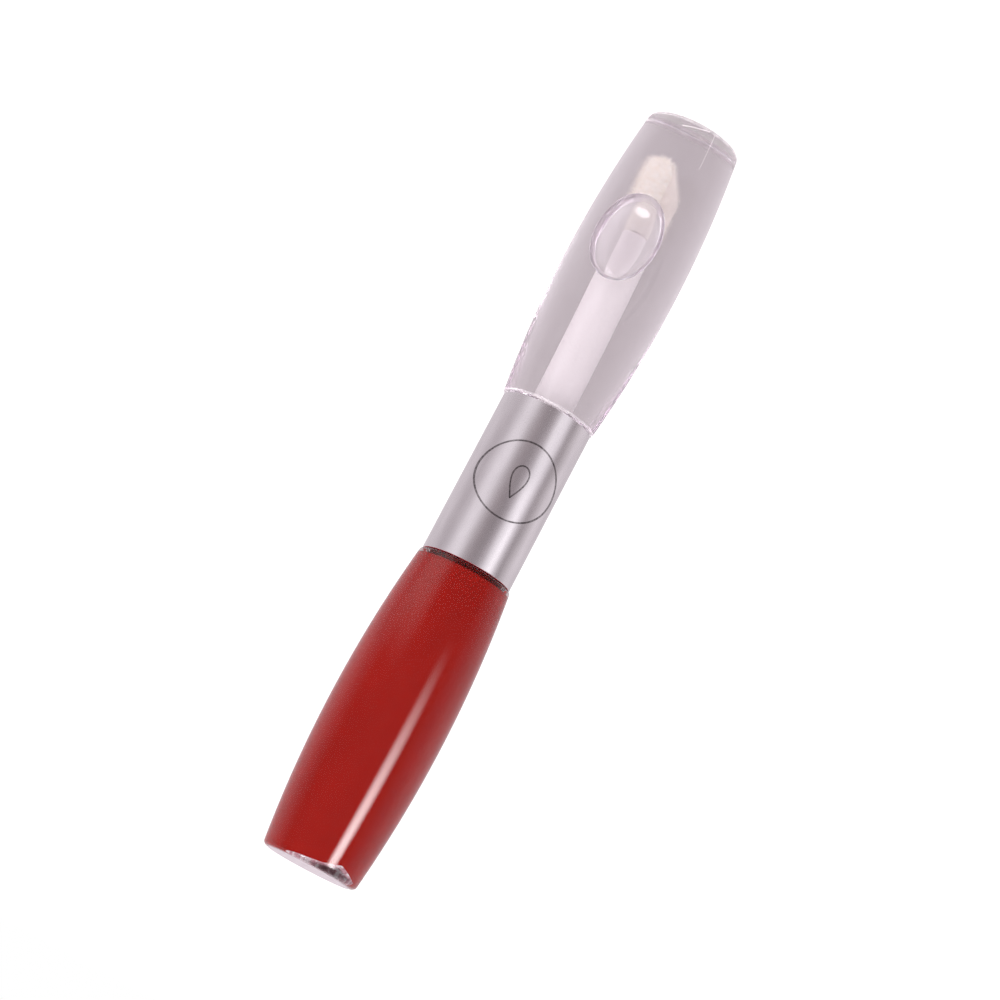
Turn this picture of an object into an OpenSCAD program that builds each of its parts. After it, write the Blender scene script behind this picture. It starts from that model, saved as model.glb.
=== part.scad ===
// Double-ended lip colour tube. Two blow-moulded bottles, one of clear gloss and one of lip
// lacquer, screw on to one central cap that carries a flocked wand for each of them.
// The tube stands on the clear bottle's base, centred on Z, with the lacquer bottle on top.

/* [Bottles] */
// Height of a barrel, from its base to its shoulder
barrel_h = 51.1; // [42:0.1:64]
// Height of a barrel's widest place above its base
belly_z = 25.4; // [20:0.1:32]
// How much wider in radius the barrel is there than at its shoulder
belly_rise = 1.68; // [1:0.01:4]
// Thickness of a barrel's side
wall = 1.4; // [1:0.1:2]
// Thickness of a bottle's floor
floor_t = 1.4; // [1:0.1:3]
// Thickness of a bottle's shoulder
shoulder_t = 1; // [0.8:0.1:2]
// Rounding of the base's edge
base_edge = 0.8; // [0.3:0.1:1]
// Rounding of the shoulder's edge
shoulder_edge = 0.4; // [0.2:0.1:0.6]
// Thickness of the neck's wall, under its thread
neck_wall = 1.3; // [1:0.1:1.5]

/* [Sleeve and caps] */
// Radius of the metal sleeve
sleeve_r = 7.5; // [6.25:0.05:10]
// Length of the metal sleeve
sleeve_h = 27.6; // [22.5:0.1:36]
// Thickness of the sleeve's sheet
sleeve_wall = 0.5; // [0.3:0.1:0.8]
// How far each bottle's shoulder stands proud of the sleeve
shoulder_step = 0.25; // [0:0.05:0.6]
// Gap between the sleeve and each shoulder
joint_gap = 0.15; // [0.1:0.05:0.6]
// Thickness of an inner cap's wall, outside its thread
cap_wall = 0.9; // [0.7:0.1:1.2]
// Thickness of an inner cap's closed end
cap_end_t = 2.8; // [1.5:0.1:3.5]

/* [Thread] */
// Rise in one turn
thread_lead = 3; // [2.4:0.1:3.6]
// Height of the ridge above the neck
thread_depth = 0.55; // [0.4:0.05:0.7]
// Width of the ridge at its root
thread_root_w = 1.1; // [0.8:0.1:1.3]
// Width of the ridge at its crest
thread_crest_w = 0.6; // [0.4:0.1:0.7]
// Turns of ridge on the neck, and in the cap
thread_turns = 1.5; // [1:0.25:1.5]
// Room between the neck's thread and the cap's
thread_gap = 0.15; // [0.1:0.05:0.25]

/* [Seals] */
// Thickness of the wiper's flange, which lies on the rim
flange_t = 0.8; // [0.5:0.1:1.2]
// How far the wiper reaches down the neck
wiper_h = 6.5; // [5:0.1:6.9]
// Thickness of the wiper's wall
wiper_wall = 0.5; // [0.3:0.1:0.6]
// Thickness of the seal washer
washer_t = 0.8; // [0.5:0.1:1.2]

/* [Wands] */
// Radius of a wand's stem
stem_r = 2.2; // [1.8:0.05:2.7]
// How much wider in radius the flocked tip is than its stem
flock_step = 0.45; // [0.2:0.05:0.6]
// Depth of the flock on the tip's core
flock_t = 0.8; // [0.5:0.1:1]
// Length of the flocked tip
tip_h = 13; // [10:0.5:16]
// Length of the tip's slanted face
slant_h = 5.4; // [4.5:0.1:8]
// How much of the tip's width its blunt end keeps
nose_w = 2.1; // [1.6:0.1:2.6]
// Rounding of the tip's blunt end
nose_edge = 1.1; // [0.6:0.1:1.4]
// Height of the tip's end above the bottle's floor
tip_gap = 4.9; // [1.5:0.1:6]
// Radius of the peg that holds the tip in its stem
peg_r = 1.2; // [1:0.1:1.4]
// Length of that peg
peg_h = 5; // [3:0.5:8]

/* [Fill and trim] */
// Length of the air bubble in the clear gloss
bubble_h = 15; // [10:0.5:18]
// Width of the bubble
bubble_w = 9.3; // [7:0.1:9.6]
// Height of the bubble's middle above the base
bubble_z = 21.6; // [18:0.1:26]
// Turn of the bubble about the tube, from the front
bubble_turn = 17; // [0:1:40]
// How much smaller in radius the printed ring is than the sleeve
mark_margin = 1; // [0.6:0.1:3]
// Width of the printed line
mark_line = 0.3; // [0.2:0.05:0.6]
// Distance from the sleeve's middle down to the printed ring's centre
mark_drop = 0.9; // [0:0.1:4]
// Turn of the printed ring about the tube, from the front
mark_turn = -6; // [-30:1:30]
// Distance from the shade label to the base's rounded edge
label_margin = 0.15; // [0:0.05:1]

/* [Hidden] */
$fn = 96;

seat = 0.02;              // clearance between pieces that are pressed or wetted together
running = 0.1;            // clearance between a stem and what it runs through
film = 0.03;              // thickness of the printed foil
label_t = 0.1;            // thickness of the shade label
root_sink = 0.2;          // how far a thread's ridge is rooted in its wall
thread_foot = 1.2;        // plain neck under the thread
arc_steps = 20;           // straight stretches in a barrel's side
edge_steps = 4;           // straight stretches in a rounded edge
thread_steps = 32;        // stretches in one turn of thread
fade_steps = 3;           // stretches in which a thread's end runs out

// Heights, from the clear bottle's base
sleeve_z = barrel_h + joint_gap;
total_h = 2 * sleeve_z + sleeve_h;
middle_z = total_h / 2;
cap_end_z = middle_z - cap_end_t;             // underside of an inner cap's closed end
washer_z = cap_end_z - seat - washer_t;
rim_z = washer_z - seat - flange_t;           // rim of the neck
stem_z = floor_t + tip_gap + tip_h;           // lower end of the stem
stem_top = middle_z - seat;

// Radii, from the sleeve inwards
shoulder_r = sleeve_r + shoulder_step;
belly_r = shoulder_r + belly_rise;
cap_r = sleeve_r - sleeve_wall - seat;
cap_bore_r = cap_r - cap_wall;
thread_r = cap_bore_r - thread_gap;           // crest of the neck's thread
neck_r = thread_r - thread_depth;
neck_bore_r = neck_r - neck_wall;
flange_r = neck_r - running;
wiper_r = neck_bore_r - seat;
lip_r = stem_r + running;
tip_r = stem_r + flock_step;
core_r = tip_r - flock_t;
well_r = tip_r + 2 * running;                 // the room that a wand keeps open in a fill
mark_r = sleeve_r - mark_margin;

// A barrel's side is one arc, level at the belly and through the shoulder's edge
arc_rise_h = barrel_h - belly_z;
side_r = (pow(arc_rise_h, 2) + pow(belly_rise, 2)) / (2 * belly_rise);

// Points along an arc, as [radius, height]
function arc(middle, r, from, to, steps) =
    [for (i = [0 : steps]) let (a = from + (to - from) * i / steps) middle + r * [cos(a), sin(a)]];

// Radius of the barrel's side at a height, set in by a depth
function side_at(z, depth) = belly_r - side_r + sqrt(pow(side_r - depth, 2) - pow(z - belly_z, 2));

// Angle of the side's arc at a height, set in by a depth
function side_angle(z, depth) = asin((z - belly_z) / (side_r - depth));

// The side of a barrel between two heights, set in by a depth
function side(low, high, depth) =
    arc([belly_r - side_r, belly_z], side_r - depth, side_angle(low, depth), side_angle(high, depth),
        arc_steps);

// The outline of a barrel's inside, set in by a further depth
function cavity(depth) = let (low = floor_t + depth, high = barrel_h - shoulder_t - depth)
    concat([[0, low]], side(low, high, wall + depth), [[0, high]]);

module bottle() {
    base = [side_at(base_edge, base_edge), base_edge];
    top_z = barrel_h - shoulder_edge;
    top = [side_at(top_z, shoulder_edge), top_z];
    difference() {
        union() {
            rotate_extrude()
                polygon(concat([[0, 0]],
                    arc(base, base_edge, -90, side_angle(base_edge, base_edge), edge_steps),
                    side(base_edge * 2, top_z - shoulder_edge, 0),
                    arc(top, shoulder_edge, side_angle(top_z, shoulder_edge), 90, edge_steps),
                    [[0, barrel_h]]));
            translate([0, 0, barrel_h - shoulder_t / 2])
                cylinder(r = neck_r, h = rim_z - barrel_h + shoulder_t / 2);
            ridge(neck_r - root_sink, thread_r, thread_root_w, thread_crest_w,
                  barrel_h + thread_foot + thread_root_w / 2);
        }
        rotate_extrude() polygon(cavity(0));
        translate([0, 0, barrel_h - 2 * shoulder_t])
            cylinder(r = neck_bore_r, h = rim_z - barrel_h + 3 * shoulder_t);
    }
}

// A helical ridge from an inner to an outer radius, its width going from inner_w to outer_w
module ridge(inner, outer, inner_w, outer_w, start_z) {
    steps = thread_turns * thread_steps;
    function swell(i) = min(1, (min(i, steps - i) + 1) / (fade_steps + 1));
    function ring(i) =
        let (a = 360 * i / thread_steps, z = start_z + thread_lead * i / thread_steps, k = swell(i))
        [for (p = [[inner, -1, inner_w], [outer, -1, outer_w], [outer, 1, outer_w], [inner, 1, inner_w]])
            [p[0] * cos(a), p[0] * sin(a), z + p[1] * p[2] * k / 2]];
    sides = [for (i = [0 : steps - 1], k = [0 : 3])
        let (a = 4 * i + k, b = 4 * i + (k + 1) % 4) each [[a, b + 4, a + 4], [a, b, b + 4]]];
    last = 4 * steps;
    polyhedron([for (i = [0 : steps]) each ring(i)],
        concat(sides, [[0, 2, 1], [0, 3, 2], [last, last + 1, last + 2], [last, last + 2, last + 3]]));
}

module wiper() {
    inside = wiper_r - wiper_wall;
    lip_z = rim_z - wiper_h;
    cone = inside - lip_r;
    rotate_extrude() polygon([
        [inside, rim_z + flange_t], [flange_r, rim_z + flange_t], [flange_r, rim_z + seat / 2],
        [wiper_r, rim_z + seat / 2], [wiper_r, lip_z + cone + wiper_wall],
        [lip_r + wiper_wall, lip_z], [lip_r, lip_z], [lip_r, lip_z + wiper_wall],
        [inside, lip_z + wiper_wall + cone]]);
}

// What fills a bottle, round the room that its wand keeps open
module fill() {
    difference() {
        rotate_extrude() polygon(cavity(seat));
        translate([0, 0, floor_t + tip_gap - 2 * running]) cylinder(r = well_r, h = barrel_h);
    }
}

// An air bubble, as long as it is given and lying against the inside of the barrel
module bubble() {
    half = bubble_h / 2;
    rotate([0, 0, bubble_turn]) translate([0, -side_at(bubble_z, wall), bubble_z])
        rotate_extrude() polygon([for (a = [-90 : 10 : 90]) [bubble_w / 2 * cos(a), half * sin(a)]]);
}

module washer() {
    translate([0, 0, washer_z]) difference() {
        cylinder(r = flange_r, h = washer_t);
        translate([0, 0, -1]) cylinder(r = lip_r, h = washer_t + 2);
    }
}

module inner_cap() {
    low = sleeve_z + joint_gap;
    difference() {
        translate([0, 0, low]) cylinder(r = cap_r, h = middle_z - low - seat / 2);
        translate([0, 0, low - 1]) cylinder(r = cap_bore_r, h = cap_end_z - low + 1);
        translate([0, 0, low]) cylinder(r = stem_r + seat, h = middle_z);
    }
    ridge(cap_bore_r - thread_depth, cap_bore_r + root_sink, thread_crest_w, thread_root_w,
          barrel_h + thread_foot + (thread_root_w + thread_lead) / 2);
}

module stem() {
    difference() {
        translate([0, 0, stem_z]) cylinder(r = stem_r, h = stem_top - stem_z);
        translate([0, 0, stem_z - 1]) cylinder(r = peg_r + seat, h = peg_h + seat + 1);
    }
}

// A doe-foot: a rod with a rounded blunt end, sliced by a slanted face that looks along -X
module doe_foot(r, end_z, nose, slant) {
    edge = min(nose_edge, 0.8 * r);
    intersection() {
        rotate_extrude() polygon(concat([[0, end_z]],
            arc([r - edge, end_z + edge], edge, -90, 0, edge_steps),
            [[r, stem_z - seat], [0, stem_z - seat]]));
        rotate([90, 0, 0]) translate([0, 0, -2 * r]) linear_extrude(4 * r)
            polygon([[r - nose, end_z - r], [2 * r, end_z - r], [2 * r, stem_z], [-2 * r, stem_z],
                     [-2 * r, end_z + slant * 1.4], [-r, end_z + slant], [r - nose, end_z]]);
    }
}

module tip_core() {
    doe_foot(core_r, floor_t + tip_gap + flock_t, nose_w - flock_t, slant_h);
    translate([0, 0, stem_z - 1]) cylinder(r = peg_r, h = peg_h + 1);
}

module tip_flock() {
    difference() {
        doe_foot(tip_r, floor_t + tip_gap, nose_w, slant_h);
        doe_foot(core_r + seat, floor_t + tip_gap + flock_t - seat, nose_w - flock_t + seat, slant_h);
        translate([0, 0, stem_z - 1]) cylinder(r = core_r + seat, h = 2);
    }
}

// Places a piece of the upper half, which is the lower half turned over
module upper() {
    translate([0, 0, total_h]) rotate([180, 0, 0]) children();
}

module clear_bottle() { color([0.85, 0.82, 0.84, 0.4]) bottle(); }
module clear_wiper() { color("white") wiper(); }
module clear_gloss() { color([0.8, 0.76, 0.78, 0.5]) difference() { fill(); bubble(); } }
module clear_washer() { color("gainsboro") washer(); }
module clear_stem() { color("white") stem(); }
module clear_tip_core() { color("linen") tip_core(); }
module clear_tip_flock() { color("seashell") tip_flock(); }
module clear_inner_cap() { color("silver") inner_cap(); }

module sleeve() {
    edge = sleeve_wall / 3;
    inside = sleeve_r - sleeve_wall;
    color("silver") translate([0, 0, sleeve_z]) rotate_extrude() polygon([
        [inside, 0], [sleeve_r - edge, 0], [sleeve_r, edge],
        [sleeve_r, sleeve_h - edge], [sleeve_r - edge, sleeve_h], [inside, sleeve_h]]);
}

// A plain ring round a drop, in stamped foil
module foil_mark() {
    drop = [for (i = [0 : 5 : 355]) mark_r * [0.27 * sin(i) * pow(sin(i / 2), 1.2), 0.42 * cos(i)]];
    module line(r) {
        difference() {
            circle(r);
            circle(r - mark_line);
        }
    }
    color("dimgray") intersection() {
        translate([0, 0, sleeve_z]) difference() {
            cylinder(r = sleeve_r + film, h = sleeve_h);
            translate([0, 0, -1]) cylinder(r = sleeve_r, h = sleeve_h + 2);
        }
        rotate([0, 0, mark_turn]) translate([0, 0, middle_z - mark_drop]) rotate([90, 0, 0])
            linear_extrude(2 * sleeve_r) {
                line(mark_r);
                difference() {
                    polygon(drop);
                    polygon(drop * (1 - 2.4 * mark_line / mark_r));
                }
            }
    }
}

module colour_inner_cap() { color("silver") upper() inner_cap(); }
module colour_tip_core() { color("linen") upper() tip_core(); }
module colour_tip_flock() { color("firebrick") upper() tip_flock(); }
module colour_stem() { color("white") upper() stem(); }
module colour_washer() { color("gainsboro") upper() washer(); }
module colour_wiper() { color("white") upper() wiper(); }
module colour_lacquer() { color([0.63, 0.13, 0.1]) upper() fill(); }
module colour_bottle() { color([0.85, 0.82, 0.84, 0.4]) upper() bottle(); }

// The blank shade label on the lacquer bottle's base
module shade_label() {
    color([0.87, 0.82, 0.85]) translate([0, 0, total_h])
        cylinder(r = side_at(base_edge, base_edge) - label_margin, h = label_t);
}

clear_bottle();
clear_wiper();
clear_gloss();
clear_washer();
clear_stem();
clear_tip_core();
clear_tip_flock();
clear_inner_cap();
sleeve();
foil_mark();
colour_inner_cap();
colour_tip_core();
colour_tip_flock();
colour_stem();
colour_washer();
colour_wiper();
colour_lacquer();
colour_bottle();
shade_label();
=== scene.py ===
"""A double-ended lip colour tube: clear gloss below, red lacquer above, a satin sleeve between."""
import math
import random

import bmesh
import bpy
from mathutils import Matrix, Vector


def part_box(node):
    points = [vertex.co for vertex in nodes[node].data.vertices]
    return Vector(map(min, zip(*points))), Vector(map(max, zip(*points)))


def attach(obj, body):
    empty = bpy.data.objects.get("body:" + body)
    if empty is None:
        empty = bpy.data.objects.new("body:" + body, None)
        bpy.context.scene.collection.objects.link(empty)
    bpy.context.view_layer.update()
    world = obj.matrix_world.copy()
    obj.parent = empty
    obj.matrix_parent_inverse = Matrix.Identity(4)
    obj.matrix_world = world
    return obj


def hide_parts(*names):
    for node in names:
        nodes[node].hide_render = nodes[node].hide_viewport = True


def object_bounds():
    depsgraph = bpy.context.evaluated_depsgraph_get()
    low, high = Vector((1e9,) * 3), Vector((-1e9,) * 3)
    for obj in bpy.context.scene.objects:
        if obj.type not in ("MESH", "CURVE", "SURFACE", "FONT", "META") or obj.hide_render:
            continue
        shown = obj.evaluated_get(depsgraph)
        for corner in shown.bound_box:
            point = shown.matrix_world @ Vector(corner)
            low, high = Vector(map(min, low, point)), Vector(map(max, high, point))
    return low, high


MM = 0.001
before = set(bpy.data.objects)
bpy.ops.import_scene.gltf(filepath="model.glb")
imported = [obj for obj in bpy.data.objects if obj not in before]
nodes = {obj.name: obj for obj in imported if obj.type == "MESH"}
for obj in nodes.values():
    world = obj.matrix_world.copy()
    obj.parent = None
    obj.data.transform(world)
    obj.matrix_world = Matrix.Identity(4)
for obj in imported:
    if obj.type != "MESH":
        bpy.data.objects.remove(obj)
cad_low, cad_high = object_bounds()
scene = bpy.context.scene

# ---------------------------------------------------------------- sizes, in millimetres
BOTTLE_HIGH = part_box("clear_bottle")[1] / MM
SLEEVE_LOW, SLEEVE_HIGH = (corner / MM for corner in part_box("sleeve"))
GLOSS_LOW, GLOSS_HIGH = (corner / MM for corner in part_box("clear_gloss"))
STEM_LOW, STEM_HIGH = (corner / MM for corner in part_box("clear_stem"))
TIP_LOW, TIP_HIGH = (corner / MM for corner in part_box("clear_tip_flock"))

BELLY_R = BOTTLE_HIGH.x
RIM_Z = BOTTLE_HIGH.z
SLEEVE_R = SLEEVE_HIGH.x
TUBE_MIDDLE = (SLEEVE_LOW.z + SLEEVE_HIGH.z) / 2
STEM_R = STEM_HIGH.x
TIP_R = TIP_HIGH.x

JOINT_GAP = 0.15          # between the sleeve and a shoulder
SHOULDER_STEP = 0.25      # a shoulder stands this much proud of the sleeve
BARREL_H = SLEEVE_LOW.z - JOINT_GAP
SHOULDER_R = SLEEVE_R + SHOULDER_STEP
BELLY_Z = 25.4            # height of the widest place
WALL = 1.4
FLOOR_T = GLOSS_LOW.z
SHOULDER_T = BARREL_H - GLOSS_HIGH.z
BASE_EDGE = 0.8           # rounding of the base
SHOULDER_EDGE = 0.4       # rounding of the shoulder
NECK_R = 5.32             # neck, under its thread
NECK_BORE_R = 4.02
NECK_FILLET = 0.3         # where the neck stands on the shoulder
RIM_EDGE = 0.25           # rounding of the neck's rim, outside
BORE_EDGE = 0.2           # and inside
BORE_FOOT = 0.5           # rounding where the bore opens into the barrel
CEILING_EDGE = 0.8        # rounding inside, under the shoulder
THREAD_R = 5.87
THREAD_LEAD = 3.0
THREAD_FOOT = 1.2         # height of the ridge's start above the shoulder
THREAD_TURNS = 1.5
THREAD_SUNK = 0.15        # how deep the ridge sits in the neck
BELLY_RISE = BELLY_R - SHOULDER_R
SIDE_R = ((BARREL_H - BELLY_Z) ** 2 + BELLY_RISE ** 2) / (2 * BELLY_RISE)
# a bottle's hollow: thickness of its floor, rounding of the floor's edge, thickness of its shoulder
CLEAR_HOLLOW = (FLOOR_T, 1.2, SHOULDER_T)
COLOUR_HOLLOW = (0.35, 0.5, 0.7)
FILL_GAP = 0.03           # between a bottle and what fills it
FILL_RISE = 3.4           # how far a fill reaches up the neck

# the clear wedge at the lacquer bottle's floor; bearings are in degrees from the front
WEDGE_FROM, WEDGE_PEAK, WEDGE_TO = 75, -38, -78
WEDGE_H = 1.5
WEDGE_R = 6.4             # distance of its full height from the axis
WEDGE_REACH = 4           # height above the floor at which it has died out
WEDGE_FADE = 3            # over this height

FLOCK_LENGTH = 1.1
FIBRE_T = 0.03
BEND = 4.2e-4             # sideways set of the clear wand, over its squared distance from the wiper

TURNS = 128               # stretches round a turned piece
# a bottle's material slots: its wall, where liquid wets it, its edge (scuffed milky on the clear
# bottle, painted shade on the lacquer bottle's shoulder), a mould line and a painted rim gleam
BARE, WET, EDGE, LINE = range(4)


# ---------------------------------------------------------------- small tools
def arc(middle, radius, start, end, steps):
    """Points (radius, height) along an arc, from one angle to another in degrees."""
    points = []
    for i in range(steps + 1):
        angle = math.radians(start + (end - start) * i / steps)
        points.append((middle[0] + radius * math.cos(angle), middle[1] + radius * math.sin(angle)))
    return points


def side_at(z, depth=0.0):
    """Radius of a barrel's side at a height, set in by a depth."""
    return BELLY_R - SIDE_R + math.sqrt((SIDE_R - depth) ** 2 - (z - BELLY_Z) ** 2)


def side_angle(z, depth=0.0):
    return math.degrees(math.asin((z - BELLY_Z) / (SIDE_R - depth)))


def side(low, high, depth=0.0, steps=48):
    """The barrel's side between two heights, set in by a depth."""
    middle = (BELLY_R - SIDE_R, BELLY_Z)
    return arc(middle, SIDE_R - depth, side_angle(low, depth), side_angle(high, depth), steps)


def lathe(outline, closed=False, turns=TURNS):
    """Spins an outline of (radius, height) round Z and returns the bmesh."""
    shape = bmesh.new()
    verts = [shape.verts.new((r, 0.0, z)) for r, z in outline]
    pairs = list(zip(verts, verts[1:])) + ([(verts[-1], verts[0])] if closed else [])
    edges = [shape.edges.new(pair) for pair in pairs]
    bmesh.ops.spin(shape, geom=verts + edges, cent=(0, 0, 0), axis=(0, 0, 1), angle=math.tau,
                   steps=turns, use_merge=True, use_duplicate=False)
    bmesh.ops.remove_doubles(shape, verts=shape.verts, dist=1e-4)
    bmesh.ops.dissolve_degenerate(shape, edges=shape.edges, dist=1e-5)
    bmesh.ops.recalc_face_normals(shape, faces=shape.faces)
    return shape


def finished(name, shape, materials, sharp=35.0):
    """Turns a bmesh in millimetres into a smooth piece in the frame."""
    bmesh.ops.scale(shape, verts=shape.verts, vec=(MM, MM, MM))
    mesh = bpy.data.meshes.new(name)
    for face in shape.faces:
        face.smooth = True
    shape.to_mesh(mesh)
    shape.free()
    for material in materials:
        mesh.materials.append(material)
    mesh.set_sharp_from_angle(angle=math.radians(sharp))
    piece = bpy.data.objects.new(name, mesh)
    scene.collection.objects.link(piece)
    return piece


def turned_over(shape):
    """Turns a piece of the lower half over, to its place in the upper half."""
    bmesh.ops.rotate(shape, verts=shape.verts, cent=(0, 0, TUBE_MIDDLE),
                     matrix=Matrix.Rotation(math.pi, 3, "X"))
    return shape


def join(shape, other):
    """Adds a bmesh to another one."""
    mesh = bpy.data.meshes.new("joined")
    other.to_mesh(mesh)
    other.free()
    shape.from_mesh(mesh)
    bpy.data.meshes.remove(mesh)
    return shape


# ---------------------------------------------------------------- materials
def linear(hex_colour):
    """An sRGB hex colour as linear RGBA."""
    channels = [int(hex_colour[i:i + 2], 16) / 255 for i in (1, 3, 5)]
    rgb = tuple(c / 12.92 if c <= 0.04045 else ((c + 0.055) / 1.055) ** 2.4 for c in channels)
    return rgb + (1.0,)


def node(tree, kind, inputs=None, **settings):
    """Adds a node with its settings. An input's value may be another node's socket."""
    made = tree.nodes.new(kind)
    for key, value in settings.items():
        setattr(made, key, value)
    for key, value in (inputs or {}).items():
        if isinstance(value, bpy.types.NodeSocket):
            tree.links.new(value, made.inputs[key])
        else:
            made.inputs[key].default_value = value
    return made


def material(name):
    """A new, empty material, its tree and its output."""
    made = bpy.data.materials.new(name)
    made.use_nodes = True
    made.node_tree.nodes.clear()
    return made, made.node_tree, made.node_tree.nodes.new("ShaderNodeOutputMaterial")


def place(tree, scale=(1, 1, 1)):
    """Object coordinates in millimetres, stretched by a scale."""
    coordinates = node(tree, "ShaderNodeTexCoord")
    mapping = node(tree, "ShaderNodeMapping", {"Vector": coordinates.outputs["Object"],
                                               "Scale": tuple(s / MM for s in scale)})
    return mapping.outputs["Vector"]


def noise(tree, vector, scale, detail=2.0, roughness=0.5):
    return node(tree, "ShaderNodeTexNoise", {"Vector": vector, "Scale": scale, "Detail": detail,
                                             "Roughness": roughness}).outputs["Fac"]


def ramp(tree, factor, stops):
    """A colour ramp through (place, hex colour) stops."""
    made = node(tree, "ShaderNodeValToRGB", {"Fac": factor})
    elements = made.color_ramp.elements
    while len(elements) < len(stops):
        elements.new(0.5)
    for element, (at, colour) in zip(elements, stops):
        element.position = at
        element.color = linear(colour)
    return made.outputs["Color"]


def span(tree, value, low, high, to_low, to_high):
    return node(tree, "ShaderNodeMapRange", {"Value": value, "From Min": low, "From Max": high,
                                             "To Min": to_low, "To Max": to_high}).outputs["Result"]


def maths(tree, operation, *values):
    return node(tree, "ShaderNodeMath", dict(enumerate(values)), operation=operation).outputs[0]


def bump(tree, height, strength, distance_mm):
    return node(tree, "ShaderNodeBump", {"Height": height, "Strength": strength,
                                         "Distance": distance_mm * MM}).outputs["Normal"]


def milky(tree, clear, colour, amount):
    """Lets a clear surface scatter a share of the light, on whichever side it is met from."""
    outside = node(tree, "ShaderNodeBsdfDiffuse", {"Color": linear(colour)})
    inside = node(tree, "ShaderNodeBsdfTranslucent", {"Color": linear(colour)})
    side_met = node(tree, "ShaderNodeNewGeometry").outputs["Backfacing"]
    milk = node(tree, "ShaderNodeMixShader", {
        0: side_met, 1: outside.outputs[0], 2: inside.outputs[0]})
    mixed = node(tree, "ShaderNodeMixShader", {0: amount, 1: clear.outputs[0], 2: milk.outputs[0]})
    return mixed.outputs[0]


def blown_petg(name, haze):
    """PETG, blow moulded and polished: water clear, with the faint milkiness of fine scuffs."""
    made, tree, out = material(name)
    scuffs = noise(tree, place(tree, (1, 1, 0.15)), 1.1, 4.0)
    clear = node(tree, "ShaderNodeBsdfPrincipled", {
        "Base Color": (1, 1, 1, 1), "Transmission Weight": 1.0, "IOR": 1.52,
        "Roughness": 0.0, "Normal": bump(tree, scuffs, 0.1, 0.02)})
    surface = milky(tree, clear, "#F6F0F4", span(tree, scuffs, 0.4, 0.75, haze * 0.8, haze * 1.6))
    tree.links.new(surface, out.inputs["Surface"])
    return made


def wetted(name, colour):
    """Where plastic and liquid touch, no air lies between them: nothing bends or shines there."""
    made, tree, out = material(name)
    surface = node(tree, "ShaderNodeBsdfTransparent", {"Color": linear(colour)})
    tree.links.new(surface.outputs["BSDF"], out.inputs["Surface"])
    return made


def bubble_skin():
    """The gloss's own surface round trapped air: smooth and a little milky, all rim and glints."""
    made, tree, out = material("gloss_surface")
    clear = node(tree, "ShaderNodeBsdfPrincipled", {
        "Base Color": (1, 1, 1, 1), "Transmission Weight": 1.0, "IOR": 1.48, "Roughness": 0.0})
    tree.links.new(milky(tree, clear, "#FFFAFD", 0.25), out.inputs["Surface"])
    return made


def lip_lacquer():
    """Pigmented lip lacquer: opaque crimson cream with faint streaks from filling."""
    made, tree, out = material("lip_lacquer")
    streaks = noise(tree, place(tree, (1, 1, 0.35)), 0.16, 3.0)
    colour = ramp(tree, streaks, [(0.35, "#AA190F"), (0.65, "#B21C12")])
    surface = node(tree, "ShaderNodeBsdfDiffuse", {"Color": colour})
    tree.links.new(surface.outputs["BSDF"], out.inputs["Surface"])
    return made


def lacquer_floor_painted_light():
    """Thin lacquer over an uneven floor: mauve, lightened with painted light and streaked from pale
    to near white with painted reflections.
    """
    made, tree, out = material("lacquer_floor_painted_light")
    streaks = noise(tree, place(tree, (1, 1, 0.6)), 0.7, 4.0, 0.7)
    colour = ramp(tree, streaks, [(0.38, "#B87E8A"), (0.5, "#DCAAB6"), (0.58, "#FFF0F6")])
    surface = node(tree, "ShaderNodeBsdfDiffuse", {"Color": colour})
    tree.links.new(surface.outputs["BSDF"], out.inputs["Surface"])
    return made


def satin_aluminium():
    """Aluminium tube, bead blasted and anodised: soft bands of light, with a grain of 0.15 mm."""
    made, tree, out = material("satin_aluminium")
    grain = noise(tree, place(tree), 6.0, 3.0, 0.6)
    cloud = noise(tree, place(tree, (1, 1, 0.3)), 0.5, 2.0)
    surface = node(tree, "ShaderNodeBsdfPrincipled", {
        "Base Color": ramp(tree, cloud, [(0.3, "#DAD6D9"), (0.7, "#E4E0E3")]), "Metallic": 1.0,
        "Roughness": span(tree, grain, 0.3, 0.7, 0.2, 0.3),
        "Normal": bump(tree, grain, 0.12, 0.02)})
    tree.links.new(surface.outputs["BSDF"], out.inputs["Surface"])
    return made


def stamped_foil():
    """Hot-stamped mirror foil, which shows dark on the satin tube and flashes at the lights."""
    made, tree, out = material("stamped_foil")
    worn = noise(tree, place(tree), 2.5, 3.0)
    surface = node(tree, "ShaderNodeBsdfPrincipled", {
        "Base Color": ramp(tree, worn, [(0.35, "#6E6A6C"), (0.7, "#A09C9E")]), "Metallic": 1.0,
        "Roughness": 0.12})
    tree.links.new(surface.outputs["BSDF"], out.inputs["Surface"])
    return made


def plain_plastic(name, colour, roughness, grain_scale=4.0, depth=0.01):
    """Moulded plastic: one colour with the mould's fine grain in its sheen."""
    made, tree, out = material(name)
    grain = noise(tree, place(tree), grain_scale, 3.0)
    surface = node(tree, "ShaderNodeBsdfPrincipled", {
        "Base Color": linear(colour),
        "Roughness": span(tree, grain, 0.3, 0.7, roughness * 0.8, roughness * 1.2),
        "Normal": bump(tree, grain, 0.2, depth)})
    tree.links.new(surface.outputs["BSDF"], out.inputs["Surface"])
    return made


def blank_label():
    """A blank paper label with a satin face, mottled where its glue grips."""
    made, tree, out = material("blank_label")
    mottle = noise(tree, place(tree), 0.9, 4.0)
    surface = node(tree, "ShaderNodeBsdfPrincipled", {
        "Base Color": ramp(tree, mottle, [(0.3, "#C5B8C0"), (0.7, "#D8CDD4")]),
        "Roughness": 0.4, "Normal": bump(tree, mottle, 0.3, 0.03)})
    tree.links.new(surface.outputs["BSDF"], out.inputs["Surface"])
    return made


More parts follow.
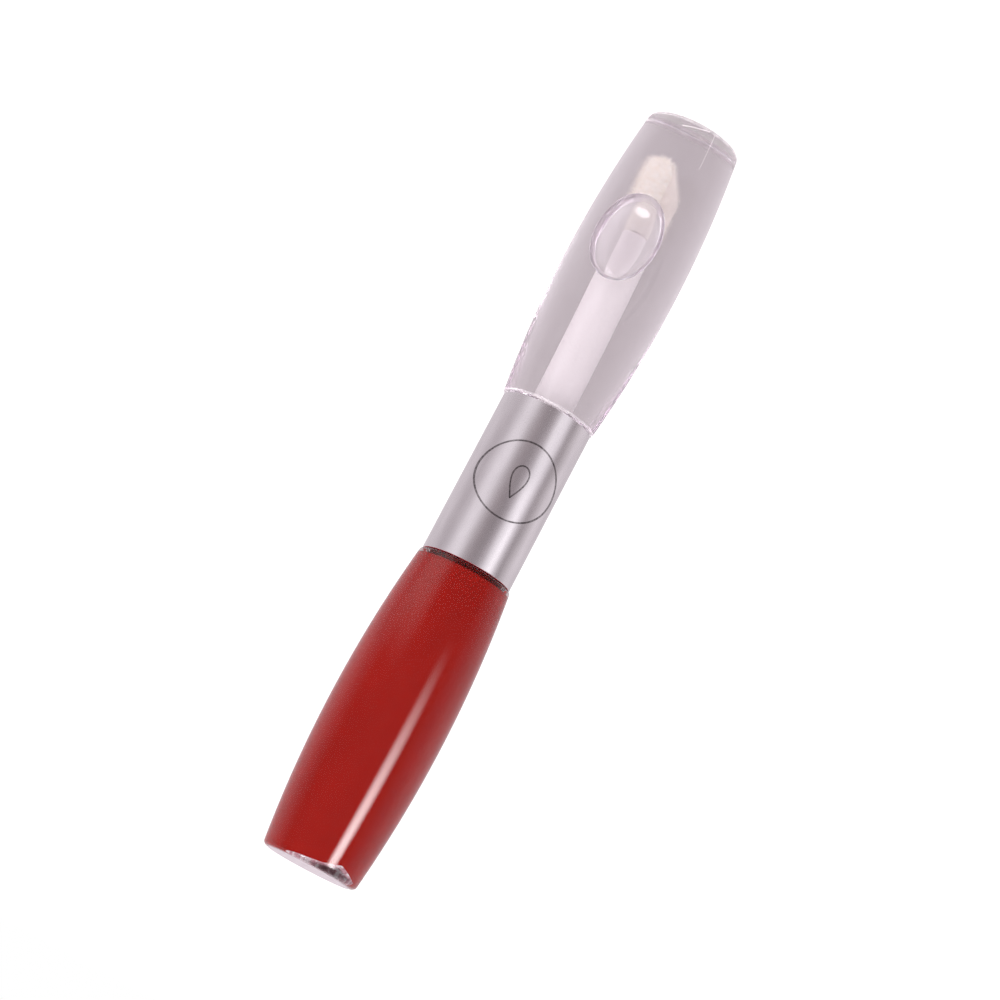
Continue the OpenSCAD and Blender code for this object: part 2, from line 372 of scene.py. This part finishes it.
def nylon_flock(name, light, dark):
    """Nylon flock: short stiff fibres that catch the light at their ends."""
    made, tree, out = material(name)
    tufts = noise(tree, place(tree), 1.6, 3.0)
    surface = node(tree, "ShaderNodeBsdfPrincipled", {
        "Base Color": ramp(tree, tufts, [(0.3, dark), (0.7, light)]), "Roughness": 0.75,
        "Sheen Weight": 0.3, "Sheen Roughness": 0.5})
    tree.links.new(surface.outputs["BSDF"], out.inputs["Surface"])
    return made


CLEAR_PETG = blown_petg("clear_petg", 0.05)
# the same plastic, scuffed milky at an edge
CLEAR_RIM = blown_petg("clear_petg_worn_edge", 0.35)
# the same plastic over lacquer, which hides its haze
COLOUR_PETG = blown_petg("lacquer_bottle_petg", 0.003)
# PETG squeezed out where the mould's halves met, and the same pale plastic as a painted highlight
# where the base's back rim gleams through
MOULD_LINE_AND_RIM_GLEAM = plain_plastic("mould_and_gleam_line", "#E6DEE2", 0.4)
WET_WALL = wetted("wetted_wall", "#FFFEFF")
WET_GLOSS = wetted("gloss_at_wall", "#FFFEFF")
BUBBLE = bubble_skin()
LACQUER = lip_lacquer()
# the lacquer's floor under the label: mauve, with painted light and painted reflections
LACQUER_FLOOR_PAINTED_LIGHT = lacquer_floor_painted_light()
SATIN = satin_aluminium()
FOIL = stamped_foil()
# polypropylene wand stems, one white and one that lacquer has stained
WHITE_PP = plain_plastic("moulded_polypropylene", "#F4EEF0", 0.3)
STAINED_PP = plain_plastic("stained_polypropylene", "#B8463C", 0.22)
# the lacquer bottle's shoulder top painted opaque crimson: painted shade for the dark ring seen
# through the clear shoulder
SHOULDER_SHADE_PETG = plain_plastic("petg_shoulder_painted_shade", "#C42C36", 0.35)
# ABS inner caps, grey with aluminium powder
CAP_ABS = plain_plastic("silver_grey_abs", "#A5A1A3", 0.35)
# low-density polyethylene wipers, waxy
LDPE = plain_plastic("wiper_ldpe", "#EDEBEA", 0.45)
# closed-cell polyethylene foam washers
FOAM = plain_plastic("seal_foam", "#E6E3E0", 0.8, 2.5, 0.05)
# thermoplastic elastomer tip cores, one clean and one soaked
ELASTOMER = plain_plastic("tip_elastomer", "#EDE4DF", 0.6)
STAINED_ELASTOMER = plain_plastic("stained_elastomer", "#B4463C", 0.5)
LABEL = blank_label()
WHITE_FLOCK = nylon_flock("white_flock", "#FFFCF8", "#FBF3EA")
RED_FLOCK = nylon_flock("soaked_flock", "#B02A20", "#8C1812")


def dress(name, finish):
    """Gives a CAD node its finish."""
    slots = nodes[name].data.materials
    slots.clear()
    slots.append(finish)


# ---------------------------------------------------------------- bottles
def bottle_outline(floor, floor_edge, shoulder):
    """A bottle's section, from the middle of its base round to the middle of its floor."""
    base = (side_at(BASE_EDGE, BASE_EDGE), BASE_EDGE)
    top_z = BARREL_H - SHOULDER_EDGE
    top = (side_at(top_z, SHOULDER_EDGE), top_z)
    ceiling = BARREL_H - shoulder
    inner_top_z = ceiling - CEILING_EDGE
    inner_top = (side_at(inner_top_z, WALL + CEILING_EDGE), inner_top_z)
    inner_base_z, inner_base_depth = floor + floor_edge, WALL + floor_edge
    inner_base = (side_at(inner_base_z, inner_base_depth), inner_base_z)
    outline = [(0, 0.12), (2.0, 0.1), (4.5, 0.0)]     # the base is a little hollow
    outline += arc(base, BASE_EDGE, -90, side_angle(BASE_EDGE, BASE_EDGE), 8)
    outline += side(BASE_EDGE * 1.6, top_z - SHOULDER_EDGE)
    outline += arc(top, SHOULDER_EDGE, side_angle(top_z, SHOULDER_EDGE), 90, 6)
    outline += [(NECK_R + NECK_FILLET, BARREL_H)]
    outline += arc((NECK_R + NECK_FILLET, BARREL_H + NECK_FILLET), NECK_FILLET, -90, -180, 4)
    outline += arc((NECK_R - RIM_EDGE, RIM_Z - RIM_EDGE), RIM_EDGE, 0, 90, 4)
    outline += arc((NECK_BORE_R + BORE_EDGE, RIM_Z - BORE_EDGE), BORE_EDGE, 90, 180, 4)
    outline += arc((NECK_BORE_R + BORE_FOOT, ceiling + BORE_FOOT), BORE_FOOT, 180, 270, 5)
    outline += arc(inner_top, CEILING_EDGE, 90, side_angle(inner_top_z, WALL + CEILING_EDGE), 8)
    outline += reversed(side(inner_base_z, inner_top_z, WALL))
    outline += arc(inner_base, floor_edge, side_angle(inner_base_z, inner_base_depth), -90, 8)
    outline += [(3.0, floor), (0, floor)]
    return outline


def thread():
    """The neck's ridge: a tapered strip wound up the neck, with flat ends."""
    per_turn = 48
    shape = bmesh.new()
    low = BARREL_H + THREAD_FOOT
    root_r = NECK_R - THREAD_SUNK
    corners = ((root_r, 0.0), (THREAD_R, 0.25), (THREAD_R, 0.85), (root_r, 1.1))
    start = [shape.verts.new((r, 0.0, low + z)) for r, z in corners]
    edges = [shape.edges.new((start[i], start[(i + 1) % 4])) for i in range(4)]
    bmesh.ops.spin(shape, geom=start + edges, cent=(0, 0, 0), axis=(0, 0, 1),
                   angle=math.tau * THREAD_TURNS, dvec=(0, 0, THREAD_LEAD / per_turn),
                   steps=int(THREAD_TURNS * per_turn), use_merge=False)
    bmesh.ops.holes_fill(shape, edges=[e for e in shape.edges if e.is_boundary], sides=4)
    bmesh.ops.recalc_face_normals(shape, faces=shape.faces)
    return shape


def mould_and_gleam_line(ends, width):
    """A faint pale line lying on the barrel, between two (bearing, height) points."""
    shape = bmesh.new()
    (from_turn, from_z), (to_turn, to_z) = ends
    steps, proud, thickness = 16, 0.02, 0.015
    across, rise = math.radians(to_turn - from_turn) * side_at(from_z), to_z - from_z
    along = Vector((across, rise)).normalized()
    rows = []
    for i in range(steps + 1):
        row = []
        for k in (-0.5, 0.5):
            z = from_z + rise * i / steps + k * width * along.x
            turn = math.radians(from_turn + (to_turn - from_turn) * i / steps)
            turn -= k * width * along.y / side_at(z)
            radius = side_at(z) + proud
            row.append(shape.verts.new((radius * math.sin(turn), -radius * math.cos(turn), z)))
        rows.append(row)
    for a, b in zip(rows, rows[1:]):
        shape.faces.new((a[0], b[0], b[1], a[1]))
    bmesh.ops.recalc_face_normals(shape, faces=shape.faces)
    bmesh.ops.solidify(shape, geom=shape.faces[:], thickness=thickness)
    for face in shape.faces:
        face.material_index = LINE
    return shape


def wedged(shape, floor):
    """Raises the floor of a lacquer bottle or its fill, which leaves a clear wedge at the wall."""
    for vert in shape.verts:
        x, y, z = vert.co
        radius = math.hypot(x, y)
        if not 0.2 < z < floor + WEDGE_REACH or radius > side_at(z) - WALL / 2:
            continue
        bearing = math.degrees(math.atan2(x, y))
        if bearing > WEDGE_PEAK:
            rise = max(0.0, (WEDGE_FROM - bearing) / (WEDGE_FROM - WEDGE_PEAK)) ** 4
        else:
            rise = (bearing - WEDGE_TO) / (WEDGE_PEAK - WEDGE_TO)
        fade = min(1.0, (floor + WEDGE_REACH - z) / WEDGE_FADE)
        vert.co.z += WEDGE_H * max(0.0, min(1.0, rise)) * (radius / WEDGE_R) ** 2 * fade
    return shape


def bottle_slot(face, floor, shoulder, over):
    """Which of a bottle's materials a face takes."""
    middle = face.calc_center_median()
    radius, height = math.hypot(middle.x, middle.y), middle.z
    in_barrel = height < BARREL_H - shoulder + 0.6
    inside = side_at(height) - WALL / 2 if in_barrel else NECK_BORE_R + 0.1
    if floor - 0.1 < height < BARREL_H + 2.5 and radius < inside:
        return WET
    on_shoulder = BARREL_H - 0.35 < height < BARREL_H + 0.1 and radius > NECK_R + 1
    on_base = 0.02 < height < 0.75 and radius > side_at(0) - 1
    # over the sleeve, the shoulder's flat top takes the crimson of painted shade
    if over:
        return EDGE if on_shoulder and face.normal.z > 0.9 else BARE
    return EDGE if on_shoulder or on_base else BARE


def make_bottle(name, over):
    """A bottle with its neck and thread. Over the sleeve it holds lacquer, below it clear gloss."""
    hollow = COLOUR_HOLLOW if over else CLEAR_HOLLOW
    floor, _, shoulder = hollow
    shape = lathe(bottle_outline(*hollow))
    for face in shape.faces:
        face.material_index = bottle_slot(face, floor, shoulder, over)
    if over:
        wedged(shape, floor)
    else:
        # the mould's parting line
        join(shape, mould_and_gleam_line([(-21, 0.7), (-21, 7.0)], 0.05))
        # a painted highlight: the pale gleam of the base's back rim seen through the wall
        join(shape, mould_and_gleam_line([(18, 1.7), (-13.5, 0.6)], 0.16))
    join(shape, thread())
    if over:
        turned_over(shape)
    colour_finishes = [COLOUR_PETG, WET_WALL, SHOULDER_SHADE_PETG]
    clear_finishes = [CLEAR_PETG, WET_WALL, CLEAR_RIM, MOULD_LINE_AND_RIM_GLEAM]
    piece = finished(name, shape, colour_finishes if over else clear_finishes)
    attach(piece, "colour_bottle_body" if over else "clear_bottle_body")
    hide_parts("colour_bottle" if over else "clear_bottle")
    return piece


def fill_outline(floor, edge, shoulder, top_edge):
    """What fills a bottle, up into the neck."""
    depth = WALL + FILL_GAP
    low, high = floor + FILL_GAP, BARREL_H - shoulder - FILL_GAP
    bore = NECK_BORE_R - FILL_GAP
    base = (side_at(low + edge, depth + edge), low + edge)
    top = (side_at(high - top_edge, depth + top_edge), high - top_edge)
    outline = [(0, low), (3.0, low)]
    outline += arc(base, edge, -90, side_angle(low + edge, depth + edge), 8)
    outline += side(low + edge * 1.5, high - top_edge * 1.5, depth)
    outline += arc(top, top_edge, side_angle(high - top_edge, depth + top_edge), 90, 8)
    outline += arc((bore + BORE_FOOT, high + BORE_FOOT), BORE_FOOT, -90, -180, 4)
    outline += [(bore, high + FILL_RISE), (0, high + FILL_RISE)]
    return outline


def bubble():
    """Trapped air, pressed against the wall: an egg flattened on its outer side."""
    length, width, depth = 15.0, 9.5, 4.4
    height, turn = 21.6, math.radians(17)
    film, least_film = 0.25, 0.2
    shape = bmesh.new()
    bmesh.ops.create_uvsphere(shape, u_segments=96, v_segments=64, radius=1.0)
    wall_r = side_at(height, WALL)
    for vert in shape.verts:
        x, y, z = vert.co
        x, z = x * width / 2, z * length / 2
        y = -wall_r + depth / 2 + film + y * depth / 2
        reach = side_at(height + z, WALL) - least_film
        radius = math.hypot(x, y)
        if radius > reach:
            x, y = x * reach / radius, y * reach / radius
        vert.co = (x, y, height + z)
    bmesh.ops.rotate(shape, verts=shape.verts, cent=(0, 0, 0), matrix=Matrix.Rotation(turn, 3, "Z"))
    bmesh.ops.recalc_face_normals(shape, faces=shape.faces)
    bmesh.ops.reverse_faces(shape, faces=shape.faces)
    for face in shape.faces:
        face.material_index = 1
    return shape


def make_gloss():
    """Clear gloss with its bubble."""
    shape = lathe(fill_outline(*CLEAR_HOLLOW, top_edge=0.8))
    join(shape, bubble())
    piece = finished("clear_gloss_fill", shape, [WET_GLOSS, BUBBLE], 60)
    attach(piece, "clear_bottle_body")
    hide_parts("clear_gloss")


def make_lacquer():
    """Red lacquer, with painted light and reflections where it faces the bottle's floor."""
    shape = wedged(lathe(fill_outline(*COLOUR_HOLLOW, top_edge=0.25)), COLOUR_HOLLOW[0])
    # faces towards the floor take the painted light and reflections
    for face in shape.faces:
        at_floor = face.calc_center_median().z < 3 and face.normal.z < -0.3
        face.material_index = 1 if at_floor else 0
    piece = finished("red_lacquer_fill", turned_over(shape), [LACQUER, LACQUER_FLOOR_PAINTED_LIGHT], 60)
    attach(piece, "colour_bottle_body")
    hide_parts("colour_lacquer")


# ---------------------------------------------------------------- sleeve and its mark
def make_sleeve():
    """A drawn tube with softly rolled ends."""
    wall, lip = 0.5, 0.2
    inside = SLEEVE_R - wall
    low, high = SLEEVE_LOW.z, SLEEVE_HIGH.z
    outline = [(inside, low + lip)]
    outline += arc((inside + lip, low + lip), lip, -180, -90, 4)
    outline += arc((SLEEVE_R - lip, low + lip), lip, -90, 0, 5)
    outline += arc((SLEEVE_R - lip, high - lip), lip, 0, 90, 5)
    outline += arc((inside + lip, high - lip), lip, 90, 180, 4)
    piece = finished("sleeve_tube", lathe(outline, closed=True), [SATIN])
    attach(piece, "cap_body")
    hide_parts("sleeve")
    return piece


def make_mark():
    """A ring round a plain drop, in foil that lies on the sleeve."""
    ring_r, line, film = 6.5, 0.26, 0.03
    middle_z, turn = TUBE_MIDDLE - 0.9, math.radians(-6)
    shape = bmesh.new()

    def stroke(points, width):
        """A closed line of foil through flat points (across, up)."""
        count = len(points)
        rows = []
        for i, (x, z) in enumerate(points):
            (xa, za), (xb, zb) = points[i - 1], points[(i + 1) % count]
            along = Vector((xb - xa, zb - za)).normalized()
            off = Vector((-along.y, along.x)) * width / 2
            rows.append([shape.verts.new((x + k * off.x, 0, z + k * off.y)) for k in (-1, 1)])
        for i in range(count):
            a, b = rows[i], rows[(i + 1) % count]
            shape.faces.new((a[0], b[0], b[1], a[1]))

    stroke(arc((0, 0), ring_r - line / 2, 0, 360 - 360 / 144, 143), line)
    drop = []
    for i in range(72):
        t = math.tau * i / 72
        drop.append((1.75 * math.sin(t) * math.sin(t / 2) ** 1.2, 2.7 * math.cos(t) + 0.2))
    stroke(drop, line * 0.9)
    bmesh.ops.remove_doubles(shape, verts=shape.verts, dist=1e-4)
    for vert in shape.verts:
        angle = math.asin(max(-1, min(1, vert.co.x / SLEEVE_R))) + turn
        radius = SLEEVE_R + film / 2
        vert.co = (radius * math.sin(angle), -radius * math.cos(angle), middle_z + vert.co.z)
    bmesh.ops.recalc_face_normals(shape, faces=shape.faces)
    bmesh.ops.solidify(shape, geom=shape.faces[:], thickness=film)
    piece = finished("foil_print", shape, [FOIL])
    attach(piece, "cap_body")
    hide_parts("foil_mark")


# ---------------------------------------------------------------- wands
def make_stem(name, body, cad, finish, over):
    """A moulded rod with a soft shoulder over the tip and a flat press-fit head."""
    low, high = STEM_LOW.z, STEM_HIGH.z
    foot_edge, head_edge, ring_step = 0.35, 0.2, 2
    outline = [(0, low + 0.05), (1.3, low), (STEM_R - foot_edge, low)]
    outline += arc((STEM_R - foot_edge, low + foot_edge), foot_edge, -90, 0, 5)
    outline += [(STEM_R, low + ring_step * i) for i in range(1, 20)] + [(STEM_R, high - 6)]
    outline += arc((STEM_R - head_edge, high - head_edge), head_edge, 0, 90, 4)
    outline += [(0, high)]
    shape = lathe(outline, turns=64)
    piece = finished(name, turned_over(shape) if over else bent(shape), [finish])
    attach(piece, body)
    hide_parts(cad)


def bent(shape):
    """The clear wand has taken a slight bend to the right below its wiper."""
    start = BARREL_H + 3
    for vert in shape.verts:
        if vert.co.z < start:
            vert.co.x += BEND * (start - vert.co.z) ** 2
    return shape


def doe_foot(radius, end_z, slant, nose):
    """A rod with a rounded blunt end, sliced by a slanted face that looks along -X."""
    edge, slant_edge = 1.5, 0.8
    outline = [(0, end_z)] + arc((radius - edge, end_z + edge), edge, -90, 0, 8)
    outline += [(radius, TIP_HIGH.z - 0.6), (radius - 0.25, TIP_HIGH.z - 0.1), (0, TIP_HIGH.z)]
    shape = lathe(outline, turns=48)
    foot = Vector((radius - nose, 0, end_z))
    normal = Vector((-slant, 0, -(2 * radius - nose))).normalized()
    bmesh.ops.bisect_plane(shape, geom=shape.verts[:] + shape.edges[:] + shape.faces[:],
                           plane_co=foot, plane_no=normal, clear_outer=True)
    rim = [e for e in shape.edges if e.is_boundary]
    bmesh.ops.holes_fill(shape, edges=rim, sides=0)
    bmesh.ops.bevel(shape, geom=rim, offset=slant_edge, offset_type="OFFSET", segments=4,
                    profile=0.5, affect="EDGES", material=-1, clamp_overlap=True)
    bmesh.ops.triangulate(shape, faces=[f for f in shape.faces if len(f.verts) > 4])
    bmesh.ops.recalc_face_normals(shape, faces=shape.faces)
    return shape


def fibres(shape, count, draw):
    """The feet and points of fibres that stand on a bmesh's faces and lean to the tip's end."""
    spread, droop = 0.28, -0.25
    # faces and corners come in another order on each run, so they are put in one that stays
    askew = Vector((0.53, 0.31, 0.79))
    faces = [f for f in shape.faces if f.calc_area() > 1e-6]
    faces.sort(key=lambda f: f.calc_center_median().dot(askew))
    areas = [f.calc_area() for f in faces]
    for face in draw.choices(faces, weights=areas, k=count):
        corners = [loop.vert.co for loop in face.loops]
        first = min(range(len(corners)), key=lambda i: corners[i].dot(askew))
        corners = corners[first:] + corners[:first]
        a, b, c = corners[:3]
        if len(corners) == 4 and draw.random() < 0.5:
            b, c = c, corners[3]
        u, v = draw.random(), draw.random()
        if u + v > 1:
            u, v = 1 - u, 1 - v
        foot = a + (b - a) * u + (c - a) * v
        lean = Vector((draw.gauss(0, spread), draw.gauss(0, spread), draw.gauss(droop, spread)))
        way = (face.normal + lean).normalized()
        tall = FLOCK_LENGTH * draw.uniform(0.35, 1.0)
        across = way.orthogonal().normalized()
        other = way.cross(across)
        base = foot - way * FIBRE_T
        ring = []
        for k in range(3):
            angle = math.tau * k / 3
            ring.append(base + (across * math.cos(angle) + other * math.sin(angle)) * FIBRE_T / 2)
        yield ring, foot + way * tall


def make_tip(name, cad, finish, over, seed, count):
    """A doe foot under its flock, whose fibres fill out the tip's full size."""
    slant, nose = 5.4, 1.9
    shape = doe_foot(TIP_R - FLOCK_LENGTH * 0.6, TIP_LOW.z + FLOCK_LENGTH * 0.5, slant, nose)
    for ring, end in list(fibres(shape, count, random.Random(seed))):
        verts = [shape.verts.new(co) for co in ring] + [shape.verts.new(end)]
        for k in range(3):
            shape.faces.new((verts[k], verts[(k + 1) % 3], verts[3]))
    piece = finished(name, turned_over(shape) if over else bent(shape), [finish], 80)
    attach(piece, "cap_body")
    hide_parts(cad)


# ---------------------------------------------------------------- camera, light and floor
def make_camera():
    """A long lens just under half a metre away, a little above, rolled so that the tube leans."""
    distance, above, roll = 0.4758, math.radians(11.54), math.radians(207.83)
    target = Vector((0, 0, TUBE_MIDDLE * MM))
    ahead = Vector((0, math.cos(above), -math.sin(above)))
    right = ahead.cross(Vector((0, 0, 1))).normalized()
    up = right.cross(ahead)
    turned_right = right * math.cos(roll) + up * math.sin(roll)
    turned_up = up * math.cos(roll) - right * math.sin(roll)
    data = bpy.data.cameras.new("camera")
    data.sensor_width = 36
    data.lens = 110.8
    data.shift_x = -0.0064
    data.shift_y = -0.0076
    camera = bpy.data.objects.new("camera", data)
    camera.matrix_world = Matrix.Translation(target - ahead * distance) @ Matrix(
        (turned_right, turned_up, -ahead)).transposed().to_4x4()
    scene.collection.objects.link(camera)
    scene.camera = camera


def make_world():
    """A white studio round a grey-walled tent: the eye sees white, a reflection sees the walls."""
    world = bpy.data.worlds.new("studio")
    scene.world = world
    world.use_nodes = True
    world.cycles.sampling_method = "NONE"
    tree = world.node_tree
    tree.nodes.clear()
    direction = node(tree, "ShaderNodeTexCoord").outputs["Generated"]
    split = node(tree, "ShaderNodeSeparateXYZ", {"Vector": direction})
    back = maths(tree, "MULTIPLY", split.outputs["Y"], -1.0)
    turn = maths(tree, "ARCTAN2", split.outputs["X"], back)
    around = span(tree, turn, -math.pi, math.pi, 0.0, 1.0)
    path = node(tree, "ShaderNodeLightPath")

    def either(factor, no, yes):
        mixed = node(tree, "ShaderNodeMix", {"Factor": factor, "A": no, "B": yes}, data_type="RGBA")
        return mixed.outputs[2]

    def vectors(operation, one, other, result="Vector"):
        made = node(tree, "ShaderNodeVectorMath", {0: one, 1: other}, operation=operation)
        return made.outputs[result]

    def brighter(colour, by):
        return vectors("MULTIPLY", colour, by)

    def added(one, other):
        return vectors("ADD", one, other)

    def grey(value):
        return node(tree, "ShaderNodeCombineXYZ", {"X": value, "Y": value, "Z": value}).outputs[0]

    def window(toward, edge, full):
        """A round window: its direction, and the cosines of its edge and of its full light."""
        near = vectors("DOT_PRODUCT", direction, toward, "Value")
        return grey(span(tree, near, edge, full, 0.0, 14.0))

    # satin metal sees a tent with soft pale panels and a grey gap for the camera
    tent = brighter(ramp(tree, around, [
        (0.10, "#C6BFC3"), (0.19, "#DAD3D7"), (0.24, "#C0B9BC"), (0.295, "#8A8184"),
        (0.345, "#EAE4E9"), (0.40, "#F6F1F5"), (0.435, "#A9A0A4"), (0.475, "#888083"),
        (0.52, "#958B8E"), (0.555, "#ABA3A6"), (0.60, "#E2DCE0"), (0.64, "#E6E0E4"),
        (0.69, "#C6BFC3"), (0.735, "#B4ACB0"), (0.82, "#CDC6CA")]), (1.25, 1.25, 1.25))
    # clear plastic reflects its dim front and pale sides, and one small window
    calm = ramp(tree, around, [
        (0.0, "#DED6DA"), (0.20, "#DED6DA"), (0.27, "#B0A8AC"), (0.33, "#746C6E"),
        (0.70, "#746C6E"), (0.76, "#BCB4B8"), (0.82, "#E2DADE")])
    high_window = window((0.346, -0.742, 0.574), 0.988, 0.995)
    mirrored = either(path.outputs["Is Singular Ray"], tent, added(calm, high_window))
    # through the clear bottle the back is grey-mauve, and a ray mirrored inside meets a white front
    sideways = maths(tree, "ABSOLUTE", split.outputs["X"])
    backdrop = ramp(tree, sideways, [(0.0, "#B2A9AC"), (0.5, "#B8AFB2"), (0.85, "#C1B9BC"),
                                     (1.0, "#D1C9CC")])
    front = brighter(ramp(tree, around, [(0.35, "#969294"), (0.38, "#D8D4D6"), (0.41, "#969294"),
                                         (0.62, "#969294"), (0.65, "#FFFFFF"), (0.71, "#FFFFFF"),
                                         (0.74, "#969294")]), (4.0, 4.0, 4.0))
    before = span(tree, split.outputs["Y"], -0.25, 0.15, 1.0, 0.0)
    turned = span(tree, path.outputs["Ray Depth"], 2.0, 3.0, 0.0, 1.0)
    twice = span(tree, path.outputs["Ray Depth"], 3.0, 4.0, 0.0, 1.0)
    low_window = window((0.297, -0.493, -0.818), 0.972, 0.985)
    from_front = added(either(twice, linear("#F4EAF0"), front), low_window)
    through = either(before, backdrop, either(turned, backdrop, from_front))
    # on matt surfaces: a soft light from the right
    bright = span(tree, split.outputs["X"], -1.0, 1.0, 0.92, 1.68)
    room = brighter(grey(bright), (1.0, 0.962, 0.975))

    seen = either(path.outputs["Is Transmission Ray"], mirrored, through)
    matt = maths(tree, "MINIMUM", path.outputs["Diffuse Depth"], 1.0)
    seen = either(matt, seen, room)
    seen = either(path.outputs["Is Camera Ray"], seen, (1.0, 1.0, 1.0, 1.0))
    background = node(tree, "ShaderNodeBackground", {"Strength": 1.0})
    tree.links.new(seen, background.inputs["Color"])
    out = node(tree, "ShaderNodeOutputWorld")
    tree.links.new(background.outputs["Background"], out.inputs["Surface"])


def soft_light(name, turn, distance, low, high, width, brightness, soft, onto):
    """A panel at a bearing from the axis, for some pieces only. Its sides, foot and top fade."""
    height, tall = (low + high) / 2, high - low
    bearing = math.radians(turn)
    way = Vector((math.sin(bearing), -math.cos(bearing), 0))
    data = bpy.data.lights.new(name, "AREA")
    data.shape = "RECTANGLE"
    data.size, data.size_y = width, tall
    data.energy = math.pi * width * tall
    data.use_nodes = True
    tree = data.node_tree
    tree.nodes.clear()
    on_panel = node(tree, "ShaderNodeNewGeometry").outputs["Parametric"]
    at = node(tree, "ShaderNodeSeparateXYZ", {"Vector": on_panel})

    def faded(axis, from_end, share):
        """Rises from 0 at one end of an axis of the panel to 1 at a share of the way over."""
        value = at.outputs[axis]
        if from_end:
            value = maths(tree, "SUBTRACT", 1.0, value)
        made = node(tree, "ShaderNodeMapRange", {
            "Value": value, "From Min": 0.0, "From Max": share}, interpolation_type="SMOOTHSTEP")
        return made.outputs["Result"]

    sides, foot, top = soft
    fade = maths(tree, "MULTIPLY",
                 maths(tree, "MULTIPLY", faded("X", False, sides), faded("X", True, sides)),
                 maths(tree, "MULTIPLY", faded("Y", False, foot), faded("Y", True, top)))
    strength = maths(tree, "MULTIPLY", fade, brightness)
    glow = node(tree, "ShaderNodeEmission", {"Strength": strength})
    tree.links.new(glow.outputs["Emission"], node(tree, "ShaderNodeOutputLight").inputs["Surface"])
    light = bpy.data.objects.new(name, data)
    light.location = Vector((0, 0, height)) + way * distance
    light.rotation_euler = way.to_track_quat("Z", "Y").to_euler()
    light.visible_diffuse = False
    light.visible_transmission = False
    light.light_linking.receiver_collection = bpy.data.collections.new(name + "_lit")
    for piece in onto:
        light.light_linking.receiver_collection.objects.link(piece)
    scene.collection.objects.link(light)


def make_floor():
    """A white sweep that glows a little, so that it stays pale under the tube."""
    radius, drop = 30.0, 0.00005
    made, tree, out = material("pale_floor")
    paper = node(tree, "ShaderNodeBsdfDiffuse", {"Color": (0.5, 0.5, 0.5, 1.0)})
    glow = node(tree, "ShaderNodeEmission", {"Strength": 0.62})
    surface = node(tree, "ShaderNodeAddShader", {0: paper.outputs[0], 1: glow.outputs[0]})
    tree.links.new(surface.outputs[0], out.inputs["Surface"])
    shape = bmesh.new()
    bmesh.ops.create_circle(shape, cap_ends=True, segments=96, radius=radius)
    mesh = bpy.data.meshes.new("floor")
    shape.to_mesh(mesh)
    shape.free()
    mesh.materials.append(made)
    floor = bpy.data.objects.new("floor", mesh)
    floor.location.z = cad_low.z - drop
    scene.collection.objects.link(floor)
    floor.visible_diffuse = False
    floor.visible_glossy = False
    floor.visible_transmission = False
    floor.visible_shadow = False


make_camera()
make_world()
make_floor()

clear_shell = make_bottle("clear_bottle_shell", False)
colour_shell = make_bottle("colour_bottle_shell", True)
make_gloss()
make_lacquer()
sleeve_tube = make_sleeve()
make_mark()
make_stem("clear_wand_stem", "clear_stem_body", "clear_stem", WHITE_PP, False)
make_stem("colour_wand_stem", "colour_stem_body", "colour_stem", STAINED_PP, True)
make_tip("clear_wand_flock", "clear_tip_flock", WHITE_FLOCK, False, 11, 9000)
make_tip("colour_wand_flock", "colour_tip_flock", RED_FLOCK, True, 12, 5000)
for half, core_finish in (("clear", ELASTOMER), ("colour", STAINED_ELASTOMER)):
    dress(half + "_wiper", LDPE)
    dress(half + "_washer", FOAM)
    dress(half + "_inner_cap", CAP_ABS)
    dress(half + "_tip_core", core_finish)
dress("shade_label", LABEL)

# bearing in degrees, then distance, foot, top and width in metres, brightness, fades and pieces
soft_light("strip_light", -41, 0.10, 0.062, 0.150, 0.05, 17.0, (0.45, 1.0, 0.04),
           [clear_shell, colour_shell])
soft_light("side_panel", 60, 0.15, -0.09, 0.075, 0.25, 0.9, (0.45, 0.1, 0.26), [colour_shell])
soft_light("sleeve_strip", -47, 0.10, 0.035, 0.115, 0.04, 0.45, (0.45, 0.35, 0.4), [sleeve_tube])

scene.view_settings.view_transform = "Standard"
# light crosses many clear walls
for limit in ("max_bounces", "transparent_max_bounces", "transmission_bounces", "glossy_bounces"):
    setattr(scene.cycles, limit, 32)
scene.cycles.sample_clamp_indirect = 20.0
